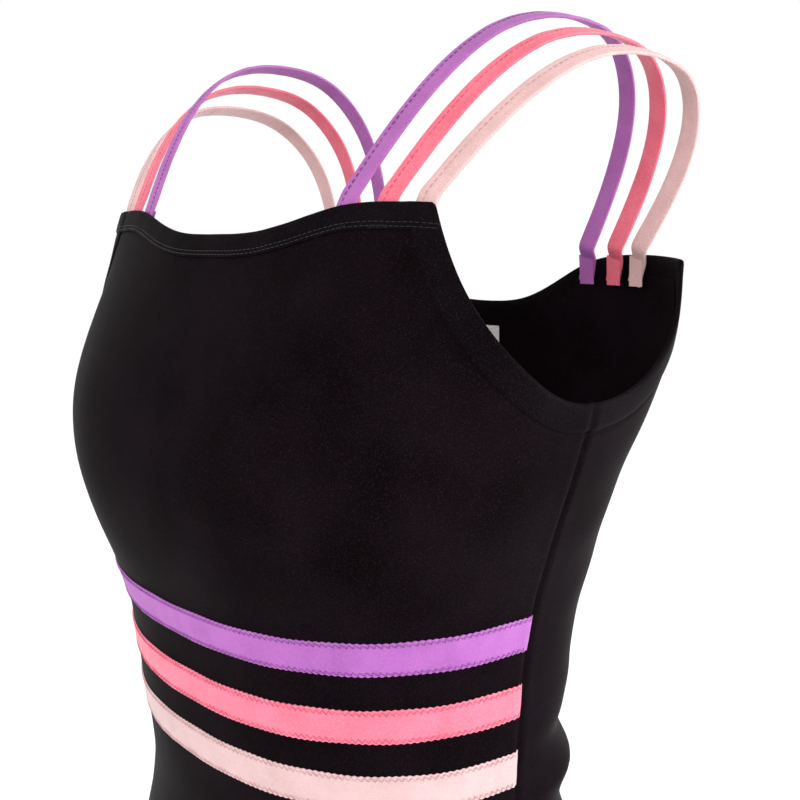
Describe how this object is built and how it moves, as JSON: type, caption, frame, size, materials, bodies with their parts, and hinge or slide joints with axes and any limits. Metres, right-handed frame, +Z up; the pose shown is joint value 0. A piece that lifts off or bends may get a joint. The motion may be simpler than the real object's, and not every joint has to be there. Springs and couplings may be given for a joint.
{
  "type": "gymnastics leotard",
  "caption": "Sleeveless tank leotard shown as worn: black stretch body, coloured bands across the front, and matching thin straps over each shoulder.",
  "frame": {"origin": "centre of the wearer's waist, where a body or a torso form holds the garment", "axes": "+Z up along the wearer's spine, -Y the way the wearer faces, +X to the wearer's left"},
  "size_m": [0.332, 0.2394, 0.6378],
  "materials": {
    "black_nylon": "black nylon and spandex knit with a dull satin sheen and fine grain",
    "lining": "matt black lining mesh",
    "elastic": "white ribbed elastic, matt",
    "purple_fabric": "orchid purple knit, smooth and matt",
    "rose_fabric": "rose pink knit with a satin sheen",
    "blush_fabric": "pale blush pink knit with a satin sheen",
    "black_thread": "black overlock thread",
    "label": "plain woven satin label"
  },
  "bodies": {
    "root": {"back_neck_binding": "black_nylon", "back_neck_elastic": "elastic", "back_panel": "black_nylon", "blush_strap_ends": "blush_fabric", "blush_stripe": "blush_fabric", "care_label": "label", "crotch_gusset": "black_nylon", "front_lining": "lining", "front_neck_binding": "black_nylon", "front_neck_elastic": "elastic", "front_panel": "black_nylon", "gusset_lining": "lining", "left_armhole_binding": "black_nylon", "left_armhole_elastic": "elastic", "left_leg_binding": "black_nylon", "left_leg_elastic": "elastic", "left_side_seam": "black_thread", "purple_strap_ends": "purple_fabric", "purple_stripe": "purple_fabric", "right_armhole_binding": "black_nylon", "right_armhole_elastic": "elastic", "right_leg_binding": "black_nylon", "right_leg_elastic": "elastic", "right_side_seam": "black_thread", "rose_strap_ends": "rose_fabric", "rose_stripe": "rose_fabric", "strap_tacks": "black_thread"},
    "left_purple_strap_body": {"left_purple_strap": "purple_fabric", "left_purple_strap_elastic": "elastic"},
    "left_rose_strap_body": {"left_rose_strap": "rose_fabric", "left_rose_strap_elastic": "elastic"},
    "left_blush_strap_body": {"left_blush_strap": "blush_fabric", "left_blush_strap_elastic": "elastic"},
    "right_purple_strap_body": {"right_purple_strap": "purple_fabric", "right_purple_strap_elastic": "elastic"},
    "right_rose_strap_body": {"right_rose_strap": "rose_fabric", "right_rose_strap_elastic": "elastic"},
    "right_blush_strap_body": {"right_blush_strap": "blush_fabric", "right_blush_strap_elastic": "elastic"}
  },
  "joints": [
    {"name": "left_purple_swing", "type": "hinge", "parent": "root", "child": "left_purple_strap_body", "pos_m": [0.0795, -0.066, 0.293], "axis": [0, 0.9904, -0.1381], "range_deg": [-12, 30]},
    {"name": "left_rose_swing", "type": "hinge", "parent": "root", "child": "left_rose_strap_body", "pos_m": [0.0995, -0.0615, 0.293], "axis": [0, 0.9895, -0.1445], "range_deg": [-12, 30]},
    {"name": "left_blush_swing", "type": "hinge", "parent": "root", "child": "left_blush_strap_body", "pos_m": [0.1175, -0.0565, 0.293], "axis": [0, 0.9881, -0.1541], "range_deg": [-12, 30]},
    {"name": "right_purple_swing", "type": "hinge", "parent": "root", "child": "right_purple_strap_body", "pos_m": [-0.0795, -0.066, 0.293], "axis": [0, -0.9904, 0.1381], "range_deg": [-12, 30]},
    {"name": "right_rose_swing", "type": "hinge", "parent": "root", "child": "right_rose_strap_body", "pos_m": [-0.0995, -0.0615, 0.293], "axis": [0, -0.9895, 0.1445], "range_deg": [-12, 30]},
    {"name": "right_blush_swing", "type": "hinge", "parent": "root", "child": "right_blush_strap_body", "pos_m": [-0.1175, -0.0565, 0.293], "axis": [0, -0.9881, 0.1541], "range_deg": [-12, 30]}
  ],
  "couplings": [
    {"joint": "left_rose_swing", "follows": "left_purple_swing", "ratio": 1},
    {"joint": "left_blush_swing", "follows": "left_purple_swing", "ratio": 1},
    {"joint": "right_rose_swing", "follows": "right_purple_swing", "ratio": 1},
    {"joint": "right_blush_swing", "follows": "right_purple_swing", "ratio": 1}
  ]
}
